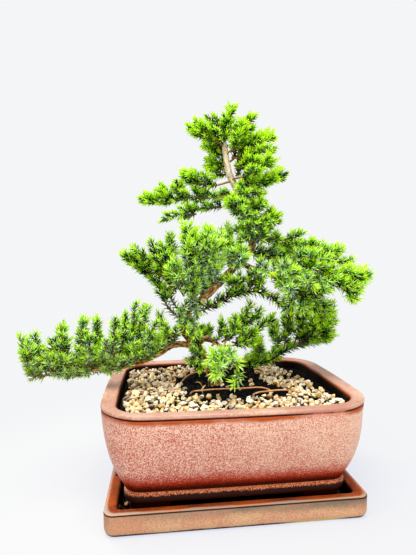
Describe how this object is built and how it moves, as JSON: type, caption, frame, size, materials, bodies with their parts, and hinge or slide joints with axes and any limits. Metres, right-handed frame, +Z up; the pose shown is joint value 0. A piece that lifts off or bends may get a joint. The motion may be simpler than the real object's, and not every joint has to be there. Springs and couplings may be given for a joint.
{
  "type": "bonsai tree in a pot",
  "caption": "Juniper bonsai with a bent trunk and layered needle sprays, in a footed glazed rectangular pot on its drip tray.",
  "frame": {"origin": "the middle of the tray's flat underside, on the surface that the object stands on", "axes": "+X along the pot's long side to the right, +Y from the front of the pot to its back, +Z up"},
  "size_m": [0.2963, 0.1642, 0.3328],
  "materials": {
    "tray_glaze": "satin tan glaze, rust-brown where it thins on the inner slope",
    "pot_glaze": "semi-gloss mottled copper-pink glaze, red-brown above the skirt",
    "drain_mesh": "matt black plastic mesh",
    "soil": "damp black potting soil with bark crumbs",
    "gravel": "dry angular quartz grit, cream to tan with a few gold and grey grains",
    "wire": "dull copper-coloured coating",
    "bark": "dry flaking bark, pinkish tan over brown",
    "foliage": "waxy green needles, yellow-green at the tips and dark inside"
  },
  "bodies": {
    "root": {"tray": "tray_glaze", "pot": "pot_glaze", "drain_mesh_left": "drain_mesh", "drain_mesh_right": "drain_mesh", "soil": "soil", "gravel": "gravel", "tray_pebble": "gravel", "anchor_wire_front": "wire", "anchor_wire_right": "wire", "anchor_wire_back_left": "wire", "anchor_wire_left": "wire", "trunk_and_limbs": "bark", "spray_apex": "foliage", "spray_crown_left": "foliage", "spray_crown_left_low": "foliage", "spray_crown_left_under": "foliage", "spray_crown_right": "foliage", "spray_crown_right_out": "foliage", "spray_crown_right_low": "foliage", "spray_crown_right_tip": "foliage", "spray_shoulder_left": "foliage", "spray_long_left_upper": "foliage", "spray_long_left_lower": "foliage", "spray_middle_front": "foliage", "spray_middle_right_up": "foliage", "spray_middle_right": "foliage", "spray_right_upper": "foliage", "spray_right_top": "foliage", "spray_right_long": "foliage", "spray_right_front": "foliage", "spray_right_drop": "foliage", "spray_right_mid": "foliage", "spray_right_arch": "foliage", "spray_low_right": "foliage", "spray_hook_right": "foliage", "spray_hook_up": "foliage", "spray_front_tuft": "foliage", "spray_front_drop": "foliage", "spray_left_middle": "foliage", "spray_left_inner": "foliage", "spray_heart_left": "foliage", "spray_heart": "foliage", "spray_heart_back": "foliage", "spray_heart_front": "foliage", "spray_elbow": "foliage", "spray_elbow_low": "foliage", "spray_base_left": "foliage", "spray_stub_left": "foliage", "spray_low_left_a": "foliage", "spray_low_left_b": "foliage", "spray_low_left_c": "foliage", "spray_low_left_d": "foliage", "spray_low_left_e": "foliage", "spray_low_left_f": "foliage", "spray_low_left_g": "foliage", "spray_low_left_tip": "foliage", "spray_back_low": "foliage", "spray_back_heart": "foliage", "spray_back_middle": "foliage"}
  },
  "joints": []
}
